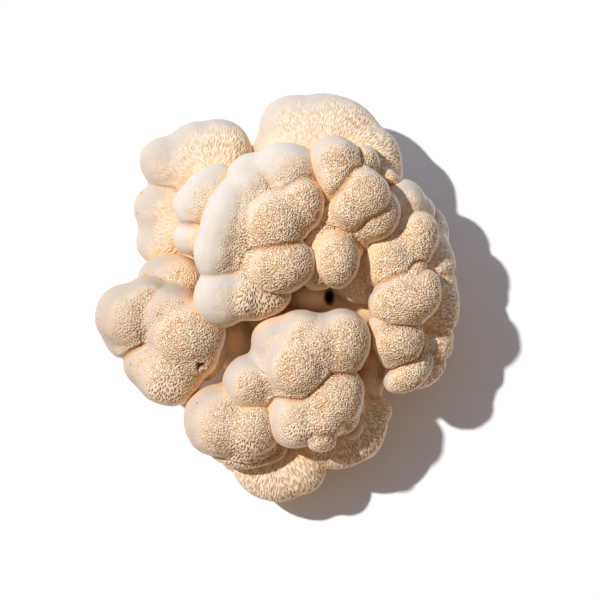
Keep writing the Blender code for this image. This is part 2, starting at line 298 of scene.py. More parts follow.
fanRight = {
    "node": "fan_right",
    "pale": 0.4,
    "lobes": [
        [(41, 32, 29, 7.9, 8.4, 10, 0, 0.85), (45.3, 29.5, 26, 6.3, 6.8, 8, 0, 0.85)],
        [(46, 22.5, 21, 10.5, 12, 8, 25, 0.6), (48, 12, 26, 10.3, 13, 8, 0, 0.55)],
        [(48.2, -1.5, 26.5, 12.2, 13.5, 8, 0, 0.5), (48.6, 5.5, 26, 10.7, 8, 7.5, 0, 0.5)],
        [(46.8, -12.5, 25, 11.5, 11.5, 7.8, -10, 0.5)],
        [(46.3, -21.8, 24, 9.8, 7.9, 7.5, 10, 0.5)],
    ],
    "flesh": [],
    "softSeams": [(1, 2, 0.6), (2, 3, 0.6), (3, 4, 0.6)],
    "combs": [
        {"middle": (30, 4), "from": (50, 4), "reach": 60, "stretch": 3.6, "seam": 180},
    ],
}

fanBottomLeft = {
    "node": "fan_bottom_left",
    "pale": 0.4,
    "lobes": [
        [(-1.5, -54.6, 16.8, 14.8, 13.6, 8.5, 0, 0.2), (6.8, -55.8, 20.5, 8.4, 9.7, 8, 20, 0.2)],
        [(-16, -55, 16.5, 3.6, 2.8, 5, 0, 0.9)],
    ],
    "flesh": [(0, -45, 16, 9, 9, 8, 0, 0.5)],
    "softSeams": [],
    "combs": [
        {"middle": (-1, -43), "from": (-2, -56), "reach": 40, "stretch": 5.5, "seam": 90},
    ],
}

heads = [
    headUpperLeft, headFront, headUpperMiddle, headRight, headLeft, headLowerLeft,
    budUpperLeft, fanBottomRight, fanTop, fanUpperLeft, fanRight, fanBottomLeft,
]

# The forking stem: lumps round the foot, as above but without a bareness, and limbs as
# x, y, z, end radius in mm
stemBase = {
    "node": "stem",
    "seed": 40,  # of its unevenness
    "lumps": [
        (1, -1, 0, 24.5, 21.5, 17, 0),
        (2, 0, 11, 30, 28, 8, 0),
        (9, 1, 20, 8, 6.5, 12, 0),
        (-15.5, -13, 13, 7.5, 12, 13, 10),
        (-5.5, -5, 13, 6.5, 8, 11, 0),
    ],
    "limbStart": (1, -2, 12, 11),
    "limbs": [
        (-8, 16, 18, 11), (5, -21, 17, 10), (20, 24, 17, 9), (36, -1, 16.5, 8.5),
        (-29, -9, 11, 8), (-12, -31, 11.5, 7), (-20, 24, 19, 8), (18, -27, 9.5, 6.5),
        (14, 29, 11, 7.5), (-20, 24, 8.5, 7), (46, 0, 15, 6.5), (0, -38, 9, 6),
    ],
    "limbSides": 32,
    "cleft": {
        "at": (16.6, 1.0, 19),
        "size": (2.2, 3.8, 22),  # mm, half its width, half its length, and its depth
        "floor": 0.3,  # how wide its floor is beside its mouth
        "sides": 24,
        "shadeEdge": (1.05, 0.9),  # share of its width where the painted shade begins and is full
        "shadeFade": 4,  # mm over its middle where the painted shade ends
    },
}

# The teeth are packed so close that what shows is the gaps between their tips
teeth = {
    "least": 0.08,  # weaker than this there are none
    "cuts": 3,  # cuts across each coarse edge where there are teeth
    "tipSpacing": 0.49,  # mm between tooth tips
    # The deeper gaps: mm between them, mm from the middle of one to the tips round it, mm
    # deep, how dark their painted shade is, and whether those that aren't combed turn any way
    "onHeads": {"spacing": 0.6, "width": 0.24, "depth": 0.6, "shadeTone": 1.0, "anyWay": True},
    "onFans": {"spacing": 0.55, "width": 0.24, "depth": 0.3, "shadeTone": 0.6, "anyWay": False},
    "lengths": (0.7, 1.2),  # shares of the usual between which gaps differ
    "spacings": (0.85, 1.1),
    "widths": (0.8, 1.2),
    "weakWidth": 0.62,  # share of the width and depth that a gap has where teeth are weakest
    "weakDepth": 0.25,
    "wallCurve": 0.6,  # below 1 a gap has a flat floor and steep walls
    "drawnOut": 1.8,  # a gap combed less than this turns any way, drawn out up to this much
    "steep": (0.85, 0.4),  # facing up where the teeth begin to hang, and hang in full
    "hanging": 1.5,  # how much hanging draws the gaps out
    "combFull": 0.7,  # share of a comb's reach where it holds in full
    "ring": 15.0,  # mm, radius where combed strands have their own width
    "strandWidth": 0.34,  # mm
    "strandLength": 3.2,
    "ruffleSize": 0.55,
    "ruffleDepth": 0.06,
}

# How each point of the skin looks round for lumps near it
lookout = {
    "skySteps": (2.5, 5, 8, 12),  # mm, where it looks for lumps over it
    "skyTilt": 0.7,  # how far the four slanting ways go up and sideways
    "nearSteps": (1.2, 2.5, 5, 9),  # mm, where it looks for lumps round it
    "nearLift": 0.8,  # mm over the skin where it looks from
    "nearWays": 6,  # ways round the one straight out
    "nearOut": 0.6,  # how far those go out from the skin and along it
    "nearAlong": 0.8,
    "across": (0.31, 0.52, 0.79),  # any way, to find two ways along the skin with
    "inside": 0.93,  # share of a lump's radius within which a point is hidden
    "covered": 0.9,  # a point is hidden when more of the ways up than this are blocked
}

# Where creases, fine faces, the painted crease shade and the pale rim lie on the skin
marks = {
    "borderWidth": 1.2,  # mm beside a border between lobes where the faces are cut fine
    "borderDetail": 0.3,
    "creaseShadeShift": 0.15,  # mm, how far on the lower lobe the painted crease shade lies
    "creaseShadeWidth": 0.5,
    "hollowShadePasses": 3,  # passes that even out the painted shade and bounce light of the hollows
    "rimOver": (0.42, 0.2),  # facing up where the pale rim, partly painted glow of light through the thin edge, begins and is full
    "rimUnder": (-0.5, -0.1),  # and the same below it
    "rimSide": (0.0, 0.4),  # facing the shaded side, where the rim's glow is painted
}

noiseShift = (17.3, 5.1, 9.7)  # how far each seed moves a noise
extraSeed = {"dimples": 3, "fineEdge": 1, "pit": 7}  # added to a head's own seed
noBorder = 99.0  # mm, stands for a border that is nowhere near
tiny = 1e-6  # keeps a division from failing


def addObject(name, data):
    obj = bpy.data.objects.new(name, data)
    bpy.context.collection.objects.link(obj)
    return obj


def meshFrom(name, bm):
    mesh = bpy.data.meshes.new(name)
    bm.to_mesh(mesh)
    bm.free()
    return mesh


def movePoints(mesh, points):
    mesh.vertices.foreach_set("co", points.ravel())
    mesh.update()


def lumpMatrix(lump):
    x, y, z, radiusX, radiusY, radiusZ, turn = lump[:7]
    place = Matrix.Translation(Vector((x, y, z)) * mm)
    place = place @ Matrix.Rotation(math.radians(turn), 4, "Z")
    return place @ Matrix.Diagonal((radiusX * mm, radiusY * mm, radiusZ * mm, 1.0))


def addLump(bm, lump):
    ball = bmesh.ops.create_icosphere(bm, subdivisions=growth["ballCuts"], radius=1.0)
    bun = growth["bun"]
    for vert in ball["verts"]:
        across = min(1.0, math.hypot(vert.co.x, vert.co.y))
        vert.co.z = math.copysign((1 - across**bun) ** (1 / bun), vert.co.z)
    bmesh.ops.transform(bm, matrix=lumpMatrix(lump), verts=ball["verts"])


# A limb of the stem, from one x, y, z, radius to the other, with round ends
def addLimb(bm, start, end):
    along = Vector(end[:3]) - Vector(start[:3])
    turn = Vector((0, 0, 1)).rotation_difference(along).to_matrix().to_4x4()
    middle = Matrix.Translation((Vector(start[:3]) + Vector(end[:3])) / 2 * mm)
    bmesh.ops.create_cone(
        bm,
        cap_ends=True,
        segments=stemBase["limbSides"],
        radius1=start[3] * mm,
        radius2=end[3] * mm,
        depth=along.length * mm,
        matrix=middle @ turn,
    )
    for x, y, z, radius in (start, end):
        addLump(bm, (x, y, z, radius, radius, radius, 0))


def appliedMesh(obj):
    graph = bpy.context.evaluated_depsgraph_get()
    return bpy.data.meshes.new_from_object(
        obj.evaluated_get(graph), preserve_all_data_layers=True, depsgraph=graph
    )


# Melts the lumps of a bmesh into one skin
def melt(name, bm):
    obj = addObject(name, meshFrom(name, bm))
    remesh = obj.modifiers.new("Melt", "REMESH")
    remesh.mode = "VOXEL"
    remesh.voxel_size = growth["grid"] * mm
    smooth = obj.modifiers.new("Soften", "SMOOTH")
    smooth.factor = growth["softenShare"]
    smooth.iterations = growth["soften"]
    melted = appliedMesh(obj)
    bpy.data.objects.remove(obj)
    return melted


def splitManySided(bm):
    bmesh.ops.triangulate(bm, faces=[face for face in bm.faces if len(face.verts) > 4])


# Arrays of a mesh's points, normals and edges, a row for each
def rowsOf(items, field, width, kind=float):
    rows = np.empty(len(items) * width, dtype=kind)
    items.foreach_get(field, rows)
    return rows.reshape(-1, width)


def pointsOf(mesh):
    return rowsOf(mesh.vertices, "co", 3)


def normalsOf(mesh):
    return rowsOf(mesh.vertex_normals, "vector", 3)


def edgesOf(mesh):
    return rowsOf(mesh.edges, "vertices", 2, int)


# Values on a mesh's points, under a name that a material can read
def keep(mesh, name, values):
    isVector = values.ndim == 2
    layer = mesh.attributes.new(name, "FLOAT_VECTOR" if isVector else "FLOAT", "POINT")
    flat = np.ascontiguousarray(values, dtype=np.float32).ravel()
    layer.data.foreach_set("vector" if isVector else "value", flat)


def kept(mesh, name):
    return rowsOf(mesh.attributes[name].data, "value", 1)[:, 0]


def unitLength(ways):
    return ways / np.maximum(np.linalg.norm(ways, axis=1), tiny)[:, None]


def dotRows(first, second):
    return np.einsum("ij,ij->i", first, second)


def neighbourMean(values, edges):
    total = np.zeros_like(values)
    count = np.zeros(len(values))
    for here, there in ((0, 1), (1, 0)):
        np.add.at(total, edges[:, here], values[edges[:, there]])
        np.add.at(count, edges[:, here], 1)
    count = np.maximum(count, 1)
    return total / (count[:, None] if values.ndim == 2 else count)


def spreadOut(values, edges, passes):
    for step in range(passes):
        values = neighbourMean(values, edges)
    return values


# Eases from 0 at low to 1 at high
def ramp(value, low, high):
    share = np.clip((value - low) / (high - low), 0, 1)
    return share * share * (3 - 2 * share)


def noiseAt(points, size, seed):
    shift = Vector([seed * part for part in noiseShift])
    return np.array([noise.noise(Vector(point) / (size * mm) + shift) for point in points])


# Distance from a lump's middle in its own radii: 1 on its skin
def lumpDepth(points, lump):
    inside = np.array(lumpMatrix(lump).inverted())
    local = points @ inside[:3, :3].T + inside[:3, 3]
    return np.linalg.norm(local, axis=1)


def lumpsOf(head):
    return [lump for lobe in head["lobes"] for lump in lobe] + head["flesh"]


# Where one lobe presses on the next: mm from the line between them, above 0 on the one
# that lies on top; how far that lobe turns to its shaded side there; and how near the
# lobes' own skins are
def lobeBorders(head, points):
    fields = []
    for lobe in head["lobes"]:
        depths = [(lumpDepth(points, lump) - 1) * sum(lump[3:6]) / 3 for lump in lobe]
        fields.append(np.min(depths, axis=0))
    if len(fields) == 1:
        return np.full(len(points), noBorder), np.zeros(len(points)), np.zeros(len(points))
    fields = np.array(fields)
    nearest, second = np.argsort(fields, axis=0)[:2]
    row = np.arange(len(points))
    apart = (fields[second, row] - fields[nearest, row]) / 2
    over = np.minimum(nearest, second)
    under = np.maximum(nearest, second)
    middles = np.array([np.mean([lump[:2] for lump in lobe], axis=0) for lobe in head["lobes"]])
    out = unitLength(points[:, :2] / mm - middles[over])
    shaded = ramp(out @ np.array(growth["shadeWay"]), *growth["shadeTurn"])
    close = ramp(fields[second, row], *growth["touching"])
    for upper, lower, share in head["softSeams"]:
        close[(over == upper) & (under == lower)] *= share
    return np.where(nearest < second, apart, -apart), shaded, close


def bareness(points, head):
    total = np.zeros(len(points))
    weight = np.zeros(len(points))
    for lump in lumpsOf(head):
        near = np.exp(-growth["bareBlend"] * (lumpDepth(points, lump) - 1))
        total += near * lump[7]
        weight += near
    return total / weight


# Share of the ways from each point on which one of the lumps is met at a step
def shareBlocked(points, lift, ways, steps, lumps):
    blocked = np.zeros(len(points))
    for way in ways:
        met = np.zeros(len(points), dtype=bool)
        for distance in steps:
            reached = points + (lift + way * distance) * mm
            for lump in lumps:
                met |= lumpDepth(reached, lump) < 1
        blocked += met
    return blocked / len(ways)


# How much of the sky over these points the lumps shut off, 0 to 1
def shutOff(points, lumps):
    tilt = lookout["skyTilt"]
    ways = [np.array((0, 0, 1))] + [
        np.array((tilt * math.cos(turn), tilt * math.sin(turn), tilt))
        for turn in (0, math.pi / 2, math.pi, -math.pi / 2)
    ]
    return shareBlocked(points, 0, ways, lookout["skySteps"], lumps)


# How closely the mushroom surrounds each point of its skin, 0 to 1
def closedIn(points, normals):
    lumps = [lump for head in heads for lump in lumpsOf(head)]
    side = unitLength(np.cross(normals, lookout["across"]))
    other = np.cross(normals, side)
    turns = np.arange(lookout["nearWays"]) * 2 * math.pi / lookout["nearWays"]
    ways = [normals] + [
        lookout["nearOut"] * normals
        + lookout["nearAlong"] * (math.cos(turn) * side + math.sin(turn) * other)
        for turn in turns
    ]
    lift = normals * lookout["nearLift"]
    return shareBlocked(points, lift, ways, lookout["nearSteps"], lumps)


# Points inside another head, or under one from all sides
def buried(points, ownNode):
    others = [lump for head in heads if head["node"] != ownNode for lump in lumpsOf(head)]
    hidden = np.zeros(len(points), dtype=bool)
    for lump in others:
        hidden |= lumpDepth(points, lump) < lookout["inside"]
    return hidden | (shutOff(points, others) > lookout["covered"])


# Fills the wide hollows between lumps, so that they press on each other like cushions
def plumped(mesh, share):
    points, edges = pointsOf(mesh), edgesOf(mesh)
    even = unitLength(spreadOut(normalsOf(mesh), edges, growth["evenPasses"]))
    hollow = dotRows(spreadOut(points, edges, growth["plumpReach"]) - points, even)
    lift = np.clip(hollow, 0, growth["plumpMost"] * mm) * share
    return points + even * lift[:, None]


def unevenness(points, normals, seed):
    swell = noiseAt(points, growth["swellSize"], seed) * growth["swellDepth"]
    dimple = noiseAt(points, growth["dimpleSize"], seed + extraSeed["dimples"])
    dimple *= growth["dimpleDepth"]
    return points + normals * ((swell + dimple) * mm)[:, None]


# A lobe's edge stands over the next lobe, with a groove along it
def pressed(border, shaded, close):
    ledge = np.tanh(border / growth["ledgeRise"])
    ledge = ledge * np.exp(-np.abs(border) / growth["ledgeFade"])
    groove = np.exp(-((border / growth["grooveWidth"]) ** 2))
    ledgeShare = growth["ledgeLit"] + (1 - growth["ledgeLit"]) * shaded
    grooveShare = growth["grooveLit"] + (1 - growth["grooveLit"]) * shaded
    push = ledge * growth["ledge"] * ledgeShare
    push -= groove * growth["groove"] * grooveShare
    return push * close


# Where the teeth show, 0 on the bare skin to 1 where they are longest
def toothedPart(head, points, lumpNormals, skinNormals, seed):
    droop = np.array(growth["droop"]) / np.linalg.norm(growth["droop"])
    flanks = growth["flanks"]
    normals = unitLength(lumpNormals * flanks + skinNormals * (1 - flanks))
    bare = bareness(points, head) ** growth["bareCurve"]
    needed = growth["fullest"] + (growth["barest"] - growth["fullest"]) * bare
    fine = noiseAt(points, growth["fineEdgeSize"], seed + extraSeed["fineEdge"])
    rough = noiseAt(points, growth["edgeSize"], seed) + growth["fineEdgeShare"] * fine
    shown = normals @ droop + rough * growth["edgeNoise"] - needed
    toothed = ramp(shown, -growth["onset"], growth["onset"])
    toothed *= ramp(skinNormals[:, 2], *growth["underRim"])
    toothed[buried(points, head["node"])] = 0
    return toothed


# How firmly a comb holds the teeth at each point, 0 to 1
def combHold(comb, points):
    distance = np.linalg.norm(points[:, :2] - np.array(comb["from"]) * mm, axis=1)
    return ramp(distance, comb["reach"] * mm, comb["reach"] * teeth["combFull"] * mm)


# The way each gap is drawn out: its direction on the skin, and how far
def combing(head, points, normals):
    down = np.array((0.0, 0.0, -1.0))
    ways = np.tile(down, (len(points), 1))
    stretch = 1 + teeth["hanging"] * ramp(normals[:, 2], *teeth["steep"])
    for comb in head["combs"]:
        away = points[:, :2] - np.array(comb["middle"]) * mm
        away = unitLength(np.column_stack([away, np.zeros(len(points))]))
        pull = combHold(comb, points)
        ways = ways * (1 - pull)[:, None] + away * pull[:, None]
        stretch = stretch * (1 - pull) + comb["stretch"] * pull
    along = unitLength(ways - normals * dotRows(ways, normals)[:, None])
    return along, stretch


# Across and along the combed teeth, in mm, and how combed they are
def strandsAt(head, points):
    strands = np.zeros((len(points), 3))
    for comb in head["combs"]:
        away = points[:, :2] / mm - np.array(comb["middle"])
        seam = math.radians(comb["seam"])
        forward = away @ (-math.cos(seam), -math.sin(seam))
        sideways = away @ (math.sin(seam), -math.cos(seam))
        turn = np.arctan2(sideways, forward)
        pull = combHold(comb, points)
        chosen = pull > strands[:, 2]
        ring = np.linalg.norm(away, axis=1)
        strands[chosen] = np.column_stack([turn * teeth["ring"], ring, pull])[chosen]
    return strands


# Cuts the faces with teeth or creases finely enough to hold them
def refine(mesh):
    bm = bmesh.new()
    bm.from_mesh(mesh)
    detail = bm.verts.layers.float["detail"]
    least = teeth["least"]
    rich = [face for face in bm.faces if max(vert[detail] for vert in face.verts) > least]
    edges = list({edge for face in rich for edge in face.edges})
    bmesh.ops.subdivide_edges(bm, edges=edges, cuts=teeth["cuts"], use_grid_fill=True)
    splitManySided(bm)
    bm.to_mesh(mesh)
    bm.free()


# How deep each point lies in a gap between teeth, 0 to 1
def gapsBetween(points, normals, toothed, along, stretch, gap, seed):
    chance = np.random.default_rng(seed)
    tree = KDTree(len(points))
    for index, point in enumerate(points):
        tree.insert(point, index)
    tree.balance()
    spacing = gap["spacing"] * mm
    width = gap["width"] * mm
    taken = np.zeros(len(points), dtype=bool)
    gaps = np.zeros(len(points))
    for index in chance.permutation(np.flatnonzero(toothed > teeth["least"])):
        if taken[index]:
            continue
        strength = toothed[index]
        length = stretch[index] * chance.uniform(*teeth["lengths"])
        way = along[index]
        if gap["anyWay"] and length < teeth["drawnOut"]:
            side = np.cross(normals[index], way)
            turn = chance.uniform(0, math.pi)
            way = way * math.cos(turn) + side * math.sin(turn)
            length = chance.uniform(1.0, teeth["drawnOut"])
        near = np.array([found[1] for found in tree.find_range(points[index], spacing * length)])
        offset = points[near] - points[index]
        run = offset @ way
        across = np.maximum(dotRows(offset, offset) - run**2, 0)
        apart = np.sqrt((run / length) ** 2 + across)
        taken[near[apart < spacing * chance.uniform(*teeth["spacings"])]] = True
        wide = teeth["weakWidth"] + (1 - teeth["weakWidth"]) * strength
        deep = teeth["weakDepth"] + (1 - teeth["weakDepth"]) * strength
        reach = width * wide * chance.uniform(*teeth["widths"])
        depth = deep * np.clip(1 - (apart / reach) ** 2, 0, 1) ** teeth["wallCurve"]
        gaps[near] = np.maximum(gaps[near], depth)
    return gaps


# A torn pit in a head, 0 outside it to 1 at its bottom
def pitAt(head, points, seed):
    if "pit" not in head:
        return np.zeros(len(points))
    pit = head["pit"]
    away = np.linalg.norm(points[:, :2] / mm - np.array(pit["at"]), axis=1)
    near = away < pit["radius"] * 2
    ragged = noiseAt(points[near], pit["raggedSize"], seed + extraSeed["pit"])
    away[near] *= 1 + pit["ragged"] * ragged
    return ramp(away, pit["radius"], pit["radius"] * pit["floor"])


softDetail = 2  # octaves of a soft noise
fineDetail = 3
glowReach = (1.0, 0.5, 0.25)  # how far red, green and blue light travel in the flesh


def shaderNodes(name):
    material = bpy.data.materials.new(name)
    material.use_nodes = True
    tree = material.node_tree
    return material, tree, tree.nodes["Principled BSDF"]


# Sets a socket to a number or a colour, or links another node's output to it
def feed(tree, socket, value):
    if isinstance(value, (tuple, float)):
        socket.default_value = value
    else:
        tree.links.new(value, socket)


def readAttribute(tree, name, output="Fac"):
    node = tree.nodes.new("ShaderNodeAttribute")
    node.attribute_name = name
    return node.outputs[output]


def objectPlace(tree):
    return tree.nodes.new("ShaderNodeTexCoord").outputs["Object"]


# Where a Mix node has its sockets for colours
mixInputs = {"amount": 0, "first": 6, "second": 7}
mixOutput = 2


def mixColours(tree, amount, first, second):
    node = tree.nodes.new("ShaderNodeMix")
    node.data_type = "RGBA"
    feed(tree, node.inputs[mixInputs["amount"]], amount)
    feed(tree, node.inputs[mixInputs["first"]], first)
    feed(tree, node.inputs[mixInputs["second"]], second)
    return node.outputs[mixOutput]


# A Math or Vector Math node
def calculate(tree, kind, operation, first, second):
    node = tree.nodes.new(kind)
    node.operation = operation
    feed(tree, node.inputs[0], first)
    feed(tree, node.inputs[1], second)
    return node


def multiply(tree, first, second):
    return calculate(tree, "ShaderNodeMath", "MULTIPLY", first, second).outputs["Value"]


# 0 at the first limit to 1 at the second
def fade(tree, value, first, second):
    node = tree.nodes.new("ShaderNodeMapRange")
    node.inputs["From Min"].default_value = first
    node.inputs["From Max"].default_value = second
    tree.links.new(value, node.inputs["Value"])
    return node.outputs["Result"]


# Black up to the first stop and white from the second
def rise(tree, value, stops):
    node = tree.nodes.new("ShaderNodeValToRGB")
    low, high = node.color_ramp.elements
    low.position = stops[0]
    high.position = stops[1]
    tree.links.new(value, node.inputs["Fac"])
    return node.outputs["Color"]


def noiseNode(tree, place, scale, detail):
    node = tree.nodes.new("ShaderNodeTexNoise")
    node.inputs["Scale"].default_value = scale
    node.inputs["Detail"].default_value = detail
    tree.links.new(place, node.inputs["Vector"])
    return node.outputs["Fac"]


# Blotches of about this size in mm
def blotches(tree, size, detail):
    return noiseNode(tree, objectPlace(tree), 1 / (size * mm), detail)


def bumpNode(tree, height, strength, depth):
    node = tree.nodes.new("ShaderNodeBump")
    node.inputs["Strength"].default_value = strength
    node.inputs["Distance"].default_value = depth * mm
    tree.links.new(height, node.inputs["Height"])
    return node


# Streaks along the combed teeth, and how combed the teeth are, both 0 to 1
def strandStreaks(tree):
    parts = tree.nodes.new("ShaderNodeSeparateXYZ")
    tree.links.new(readAttribute(tree, "strands", "Vector"), parts.inputs["Vector"])
    drawn = tree.nodes.new("ShaderNodeCombineXYZ")
    for axis, size in (("X", teeth["strandWidth"]), ("Y", teeth["strandLength"])):
        shrunk = calculate(tree, "ShaderNodeMath", "DIVIDE", parts.outputs[axis], size)
        tree.links.new(shrunk.outputs["Value"], drawn.inputs[axis])
    streaks = noiseNode(tree, drawn.outputs["Vector"], 1.0, softDetail)
    return streaks, parts.outputs["Z"]


# Packed tooth tips: 0 at each tip to 1 between them
def toothTips(tree):
    cells = tree.nodes.new("ShaderNodeTexVoronoi")
    cells.inputs["Scale"].default_value = 1 / (teeth["tipSpacing"] * mm)
    tree.links.new(objectPlace(tree), cells.inputs["Vector"])
    return cells.outputs["Distance"]


skinLook = {
    "white": (0.68, 0.61, 0.53, 1),
    "ivory": (0.57, 0.47, 0.39, 1),
    "ivoryWarm": (0.57, 0.45, 0.345, 1),
    # painted shade deep in the gaps between the teeth, on their walls and between their tips
    "gap": (0.31, 0.145, 0.053, 1),
    "shaftShade": (0.66, 0.42, 0.22, 1),
    "tip": (0.98, 0.87, 0.69, 1),
    # painted shade in the creases, on the lobes' shaded side
    "creaseShade": (0.60, 0.33, 0.14, 1),
    # painted shade in the slits between combed strands
    "slitShade": (0.62, 0.36, 0.17, 1),
    # pale rim on the shaded side: partly the margin's own paleness, partly painted glow of light
    # through the thin edge
    "rim": (0.93, 0.83, 0.71, 1),
    "mottle": (0.62, 0.46, 0.31, 1),
    "bruise": (0.26, 0.10, 0.05, 1),
    # painted warm shade and bounce light in the hollows that the mushroom closes in
    "hollowShadeAndBounce": (0.96, 0.62, 0.33, 1),
    "patchSize": 12.0,  # mm, of the patches of warmer ivory
    "mottleSize": 1.6,
    "mottleStops": (0.45, 0.8),
    "mottleShare": 0.25,
    "combedLoss": 0.75,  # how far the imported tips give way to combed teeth
    "betweenShadeTips": (0.34, 0.68),  # share of the way from tip to tip where the painted shade between the tips shows
    "gapWallShade": (0.0, 0.45),  # depths in a gap where the painted shade of its walls and of its floor shows
    "gapFloorShade": (0.4, 0.95),
    "streakStops": (0.48, 0.62),
    "slitShadeShare": 0.75,
    "creaseShadeShare": 0.8,
    "hollowShadeStops": (0.1, 0.65),
    "hollowShadeShare": 0.65,
    "paleRimGlowShare": 0.8,
    "roughness": 0.75,
    "shine": 0.3,
    "glow": 0.4,
    "glowDepth": 1.1,  # mm
    "grainSize": 0.45,  # mm
    "grainBump": (0.25, 0.1),  # strength, and depth in mm
    "tipBump": (0.6, 0.3),
}

stemLook = {
    # the stem's tan pushed to a saturated orange: partly its own colour, partly painted warm bounce
    # light of the shaded gaps where it shows
    "pale": (1.0, 0.68, 0.36, 1),
    "warm": (0.94, 0.60, 0.30, 1),
    # near-black painted shade deep in the cleft
    "deep": (0.05, 0.025, 0.012, 1),
    "patchSize": 8.0,
    "roughness": 0.7,
    "shine": 0.5,
    "glow": 0.4,
    "glowDepth": 2.0,
}

amber = (0.72, 0.34, 0.05, 1)
speck = (0.42, 0.26, 0.14, 1)

# Drops of amber juice and specks on the bare skin
spots = [
    {"at": (-44.9, 8.3, 30.6), "radius": 0.75, "colour": amber},
    {"at": (-46.6, 36.0, 22.1), "radius": 0.6, "colour": amber},
    {"at": (-48.0, 29.0, 23.0), "radius": 0.5, "colour": amber},
    {"at": (-60.3, -6.4, 36.9), "radius": 0.35, "colour": speck},
    {"at": (-59.5, -2.9, 37.8), "radius": 0.25, "colour": speck},
    {"at": (-49.5, -21.4, 36.0), "radius": 0.4, "colour": speck},
    {"at": (-27.3, -34.0, 40.7), "radius": 0.4, "colour": speck},
]
spotFlat = 0.3  # spots run down the skin: 1 is a ball, less is taller than wide
spotCore = 0.6  # share of a spot's radius that has its full colour


# 1 in a spot and 0 round it
def spotAt(tree, spot):
    x, y, z = spot["at"]
    squeezed = (1.0, 1.0, spotFlat)
    middle = (x * mm, y * mm, z * spotFlat * mm)
    flat = calculate(tree, "ShaderNodeVectorMath", "MULTIPLY", objectPlace(tree), squeezed)
    away = calculate(tree, "ShaderNodeVectorMath", "DISTANCE", flat.outputs["Vector"], middle)
    radius = spot["radius"]
    return fade(tree, away.outputs["Value"], radius * mm, radius * spotCore * mm)


def setSurface(tree, shader, look, colour):
    tree.links.new(colour, shader.inputs["Base Color"])
    shader.inputs["Roughness"].default_value = look["roughness"]
    shader.inputs["Specular IOR Level"].default_value = look["shine"]
    shader.inputs["Subsurface Weight"].default_value = look["glow"]
    shader.inputs["Subsurface Radius"].default_value = glowReach
    shader.inputs["Subsurface Scale"].default_value = look["glowDepth"] * mm


# Ivory in warmer and whiter patches, lightly mottled
def bareSkin(tree):
    patches = blotches(tree, skinLook["patchSize"], softDetail)
    skin = mixColours(tree, patches, skinLook["ivory"], skinLook["ivoryWarm"])
    skin = mixColours(tree, readAttribute(tree, "pale"), skin, skinLook["white"])
    mottle = blotches(tree, skinLook["mottleSize"], fineDetail)
    mottle = rise(tree, mottle, skinLook["mottleStops"])
    mottle = multiply(tree, mottle, skinLook["mottleShare"])
    return mixColours(tree, mottle, skin, skinLook["mottle"])


def mushroomSkin():
    material, tree, shader = shaderNodes("mushroomSkin")
    toothed = readAttribute(tree, "toothed")
    gaps = readAttribute(tree, "gaps")
    tips = toothTips(tree)
    streaks, combed = strandStreaks(tree)
    loss = multiply(tree, combed, skinLook["combedLoss"])
    loose = calculate(tree, "ShaderNodeMath", "SUBTRACT", 1.0, loss)
    packed = multiply(tree, toothed, loose.outputs["Value"])
    # painted shade between the tooth tips
    betweenShade = rise(tree, tips, skinLook["betweenShadeTips"])
    # painted shade in the slits between the combed strands
    slitShades = multiply(tree, rise(tree, streaks, skinLook["streakStops"]), combed)
    slitShades = multiply(tree, slitShades, multiply(tree, toothed, skinLook["slitShadeShare"]))
    # painted warm shade and bounce light in the hollows
    hollowShadeAndBounce = rise(tree, readAttribute(tree, "hollowShadeAndBounce"), skinLook["hollowShadeStops"])
    layers = [
        (toothed, "tip"),
        (multiply(tree, betweenShade, packed), "shaftShade"),
        (rise(tree, gaps, skinLook["gapWallShade"]), "shaftShade"),
        (rise(tree, gaps, skinLook["gapFloorShade"]), "gap"),
        (slitShades, "slitShade"),
        (multiply(tree, readAttribute(tree, "creaseShade"), skinLook["creaseShadeShare"]), "creaseShade"),
        (multiply(tree, hollowShadeAndBounce, skinLook["hollowShadeShare"]), "hollowShadeAndBounce"),
        (multiply(tree, readAttribute(tree, "rim"), skinLook["paleRimGlowShare"]), "rim"),
        (readAttribute(tree, "bruise"), "bruise"),
    ]
    colour = bareSkin(tree)
    for amount, name in layers:
        colour = mixColours(tree, amount, colour, skinLook[name])
    for spot in spots:
        colour = mixColours(tree, spotAt(tree, spot), colour, spot["colour"])
    setSurface(tree, shader, skinLook, colour)
    grain = blotches(tree, skinLook["grainSize"], fineDetail)
    grainBump = bumpNode(tree, grain, *skinLook["grainBump"])
    tipBump = bumpNode(tree, multiply(tree, tips, packed), *skinLook["tipBump"])
    tipBump.invert = True
    tree.links.new(grainBump.outputs["Normal"], tipBump.inputs["Normal"])
    tree.links.new(tipBump.outputs["Normal"], shader.inputs["Normal"])
    return material


def stemFlesh():
    material, tree, shader = shaderNodes("stemFlesh")
    patches = blotches(tree, stemLook["patchSize"], fineDetail)
    colour = mixColours(tree, patches, stemLook["pale"], stemLook["warm"])
    colour = mixColours(tree, readAttribute(tree, "deep"), colour, stemLook["deep"])
    setSurface(tree, shader, stemLook, colour)
    return material


def finishPiece(mesh, node, material):
    mesh.name = node + "_grown"
    mesh.materials.clear()
    mesh.materials.append(material)
    mesh.polygons.foreach_set("material_index", [0] * len(mesh.polygons))
    mesh.shade_smooth()
    piece = addObject(node + "_grown", mesh)
    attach(piece, "root")
    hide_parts(node)


# Each lobe's lumps melt softly first, then all of them with the flesh under them
def meltedHead(head):
    joined = bmesh.new()
    for lobe in head["lobes"]:
        bm = bmesh.new()
        for lump in lobe:
            addLump(bm, lump)
        if len(lobe) > 1:
            soft = melt(head["node"] + "_lobe", bm)
            movePoints(soft, plumped(soft, growth["plumpLobe"]))
        else:
            soft = meshFrom(head["node"] + "_lobe", bm)
        joined.from_mesh(soft)
        bpy.data.meshes.remove(soft)
    for lump in head["flesh"]:
        addLump(joined, lump)
    return melt(head["node"] + "_skin", joined)


